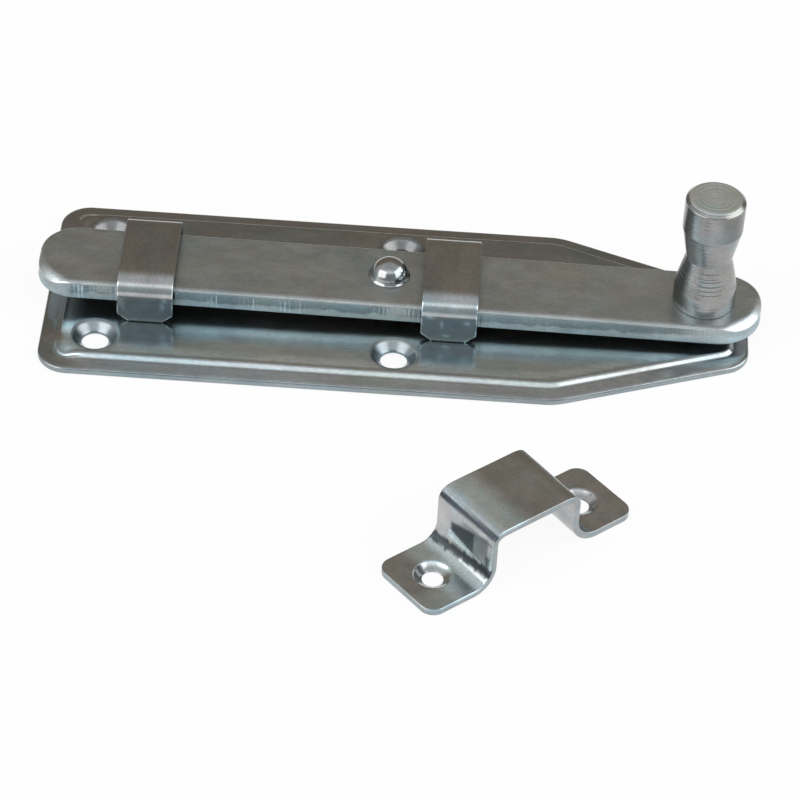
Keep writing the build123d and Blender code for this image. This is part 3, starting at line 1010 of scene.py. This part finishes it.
# %% [markdown]
# ## Keeper
# The keeper is one strip bent four times: two feet, two legs and a web, with a countersunk hole in each
# foot. It lies loose in front of the plate, turned by about forty degrees. Its ends are cut askew and its
# two lower bends differ, as on a piece bent by hand in a jig.

# %% Keeper blank
keeper_half, foot_end = 8.14, 24.49
keeper_outer, keeper_top = 10.5, 13.3
near_bend, far_bend = 3.6, 4.8
crown_bend, crown_reach, crown_drop = double_bend(2.7, 7.0, 12)
end_lean = keeper_half * tan(radians(1.4))
near_leg = keeper_top - sheet - near_bend - crown_drop
far_leg = keeper_top - sheet - far_bend - crown_drop
web_run = 2 * (keeper_outer - crown_reach)
foot = foot_end - keeper_outer
keeper_runs = [(foot - near_bend, 0), (near_bend, 90), (near_leg, 0), *crown_bend[::-1],
               (web_run, 0), *crown_bend, (far_leg, 0), (far_bend, 90), (foot - far_bend, 0)]
keeper_follow, keeper_way = bend_path((-foot_end, sheet), 0, keeper_runs)
strip_end = keeper_way / 2
keeper_corners = [
    (-keeper_half, -strip_end - end_lean), (keeper_half, -strip_end + end_lean),
    (keeper_half, strip_end + end_lean), (-keeper_half, strip_end - end_lean),
]
keeper_blank = outline(keeper_corners, [2.8] * 4, 0.3, 0.45)
keeper_rim = edge_profile(sheet, 0.13, 0.1)
sink_walls = [
    (1.95, 0.0), (1.72, -0.02), (1.58, -0.09, 0.3), (1.45, -0.22, 0.2), (1.0, -0.6, 0.2),
    (0.5, -0.95, 0.2), (0.1, -1.15, 0.5), (0.0, -1.25, 1), (0.04, -1.36, 1), (0.25, -sheet),
]
hole_from_middle, screw_r = 17.5, 2.0
hole_way = strip_end - (foot_end - hole_from_middle)
keeper_openings = [(round_outline(0, side * hole_way, screw_r, 0.3), sink_walls) for side in (-1, 1)]
print("keeper strip", round(keeper_way, 1), "mm along its upper face")

# %% Bent keeper
keeper_place, keeper_turn = (53.4, -65.6), radians(40.4)
keeper_wave = waves(6, 10.0, 30.0, 0.02)


def bend_keeper(rows):
    """Bends the flat strip to a bridge and lays it in front of the plate."""
    u, v, w = rows.T[:3]
    across = -u
    points, normals = keeper_follow(v)
    raised = rise(points[:, 1], 2.0, 3)
    laid = points + (w + raised * keeper_wave(across, v))[:, None] * normals
    x = keeper_place[0] + laid[:, 0] * cos(keeper_turn) - across * sin(keeper_turn)
    y = keeper_place[1] + laid[:, 0] * sin(keeper_turn) + across * cos(keeper_turn)
    return np.stack((x, y, laid[:, 1]), 1)


keeper, keeper_rows = closed_sheet("bent_keeper", keeper_blank, keeper_rim, keeper_openings,
                                   bend_keeper, 0.42)

# %% [markdown]
# Painted shade lies in dark lines along the near fold and under the near crown, and in a dark patch on the
# near leg. The web and the foot are painted lighter, as painted light.

# %% Keeper marks
u, v, w = keeper_rows.T[:3]
near_way, across = v + strip_end, -u        # along the strip from its near end, and across it
on_top_face = w > -0.5
# Painted light on the web and the near foot.
web_glow = between(near_way, 24.2, 30.5, 5.0)
foot_glow = 0.8 * between(near_way, 6.5, 12.8, 3.0) + 0.5 * between(-across, 3.0, 9.0, 4.0) * (near_way < 11)
mark(keeper, "painted_light", np.clip(web_glow + foot_glow, 0, 1) * on_top_face)
# Painted shade: the fold line, the crown line and dark patches on the near leg.
fray = 0.12 * np.sin(across * 2.3) + 0.1 * np.sin(across * 3.9 + 1) + 0.08 * np.sin(across * 5.3 + 2)
fold_line = between(near_way + 0.11 * across + fray, 13.1, 14.9, 0.5)
crown_line = between(near_way + 0.03 * across, 22.75, 24.0, 0.5)
patch = between(across, -2.8, 3.9, 0.5) + 0.6 * between(across, -6.8, -2.8, 0.5)
leg_dark = between(near_way, 16.4 + 0.15 * across, 20.3 - 0.3 * across, 0.6) * patch
end_dark = between(near_way, 15.6, 18.2, 0.8) * between(across, -7.6, -6.6, 0.6)
mark(keeper, "painted_shade", np.clip(fold_line + crown_line + leg_dark + 0.8 * end_dark, 0, 1) * on_top_face)
fit(keeper, "keeper", "keeper_zinc", "mounting")

# %% [markdown]
# ## Floor
# The bolt lies on white paper, a plain pale surface that takes its shadow. Part of the white is the paper's
# own glow, so that it stays white without more light. The glow that the steel mirrors fades with the
# distance and behind the plate, as on lit paper.

# %% Floor
floor_reach, floor_drop = 3.0, 0.02 * MM
paper_white = (0.95, 0.95, 0.95, 1)
camera_glow = 0.92
floor_mesh = bpy.data.meshes.new("paper")
floor_corners = [(*corner, 0) for corner in rectangle(0, 0, floor_reach, floor_reach)]
floor_mesh.from_pydata(floor_corners, [], [(0, 1, 2, 3)])
floor = add_object("paper", floor_mesh)
floor.location.z = -floor_drop

paper = bpy.data.materials.new("white paper")
paper.use_nodes = True
tree = paper.node_tree
tree.nodes.clear()
ray = add_node(tree, "LightPath", {}).outputs
spot = add_node(tree, "NewGeometry", {}).outputs["Position"]
far_off = add_node(tree, "VectorMath", {0: spot}, operation="LENGTH").outputs["Value"]
fall = add_range(tree, far_off, 0.14, 0.45, 0.78, 0.1, "SMOOTHSTEP")
spot_y = add_node(tree, "SeparateXYZ", {0: spot}).outputs["Y"]
behind = add_range(tree, spot_y, 0.025, 0.08, 1.0, 0.35, "SMOOTHSTEP")
dimmed = add_node(tree, "Math", {0: fall, 1: behind}, operation="MULTIPLY").outputs[0]
mirrored = add_node(tree, "Math", {0: ray["Is Glossy Ray"], 1: ray["Is Transmission Ray"]}).outputs[0]
in_mirror = add_node(tree, "Math", {0: mirrored, 1: dimmed}, operation="MULTIPLY").outputs[0]
glow_share = add_node(tree, "Math", {0: ray["Is Camera Ray"], 1: camera_glow, 2: in_mirror},
                      operation="MULTIPLY_ADD", use_clamp=True).outputs[0]
matt = add_node(tree, "BsdfDiffuse", {"Color": paper_white}).outputs[0]
glow = add_node(tree, "Emission", {"Color": (1, 1, 1, 1), "Strength": 1.0}).outputs[0]
both = add_node(tree, "MixShader", {"Fac": glow_share, 1: matt, 2: glow}).outputs[0]
add_node(tree, "OutputMaterial", {"Surface": both})
floor_mesh.materials.append(paper)
print("floor reaches", floor_reach, "m")

# %% [markdown]
# ## Light
# The dome of the stud mirrors the studio: a large soft box on the left, one on the right, a bright band
# above the camera, and darker room between them. Shiny steel shows its light sources, so the boxes are area
# lamps of the right size and place, and the band and the room are a soft gradient in the world.

# %% Soft boxes
aimed_at = Vector((0.028, -0.015, 0))
box_distance = 1.0


def soft_box(name, azimuth, height_angle, width, height, radiance, roll):
    """A rectangular lamp aimed at the bolt. Azimuth is from +Y towards +X, radiance how bright it looks."""
    a, e = radians(azimuth), radians(height_angle)
    away = Vector((cos(e) * sin(a), cos(e) * cos(a), sin(e)))
    lamp = bpy.data.lights.new(name, "AREA")
    lamp.shape = "RECTANGLE"
    lamp.size, lamp.size_y = width, height
    lamp.energy = radiance * width * height * pi
    box = add_object(name, lamp)
    aim = (-away).to_track_quat("-Z", "Y").to_matrix().to_4x4()
    tilt = Matrix.Rotation(radians(roll), 4, "Z")
    box.matrix_world = Matrix.Translation(aimed_at + away * box_distance) @ aim @ tilt
    print(name, round(lamp.energy, 2), "W")


soft_box("left box", -126, 29, 0.95, 0.74, 2.1, 20)
soft_box("right box", 97, 27, 1.2, 0.78, 2.0, -20)

# %% [markdown]
# Three gradients by height make the room: dim and warm behind the bolt, brighter at the sides, and in front
# dark below the camera with the band above.

# %% Room
back_stops = [(0, (0.25, 0.22, 0.18)), (36, (0.26, 0.23, 0.19)), (44, (0.31, 0.28, 0.235)),
              (52, (0.37, 0.35, 0.32)), (66, (0.47, 0.46, 0.45)), (90, (0.54, 0.54, 0.55))]
side_stops = [(0, (0.5, 0.54, 0.55)), (20, (0.6, 0.63, 0.64)), (40, (0.7, 0.71, 0.71)),
              (55, (0.68, 0.69, 0.7)), (70, (0.6, 0.61, 0.62)), (90, (0.54, 0.54, 0.55))]
front_stops = [(0, (0.31, 0.36, 0.37)), (26, (0.33, 0.38, 0.39)), (42, (0.42, 0.48, 0.5)),
               (49, (1.25, 1.32, 1.34)), (62, (1.2, 1.25, 1.26)), (73, (0.84, 0.87, 0.87)),
               (90, (0.54, 0.54, 0.55))]

world = bpy.data.worlds.new("room")
bpy.context.scene.world = world
world.use_nodes = True
tree = world.node_tree
direction = add_node(tree, "TexCoord", {}).outputs["Generated"]
axes = add_node(tree, "SeparateXYZ", {0: direction}).outputs
lift = add_node(tree, "Math", {0: axes["Z"], 1: 0.5, 2: 0.5}, operation="MULTIPLY_ADD").outputs[0]


def room_part(stops):
    """The colour of one part of the room, from (degrees above the floor, colour) stops."""
    places = [(sin(radians(degrees)) + 1) / 2 for degrees, _ in stops]
    return add_ramp(tree, lift, [(place, colour) for place, (_, colour) in zip(places, stops)])


def turned_to(near, far):
    """The share of a part of the room, growing as the direction turns from near to far along Y."""
    return add_range(tree, axes["Y"], near, far, kind="SMOOTHSTEP")


room = add_mix(tree, turned_to(0.2, 0.6), room_part(side_stops), room_part(back_stops))
room = add_mix(tree, turned_to(-0.2, -0.6), room, room_part(front_stops))
tree.links.new(room, tree.nodes["Background"].inputs["Color"])
print("the room has", len(back_stops) + len(side_stops) + len(front_stops), "stops")

# %% [markdown]
# ## Last settings
# The standard view keeps colours as they are written.

# %% Finish
bpy.context.scene.view_settings.view_transform = "Standard"
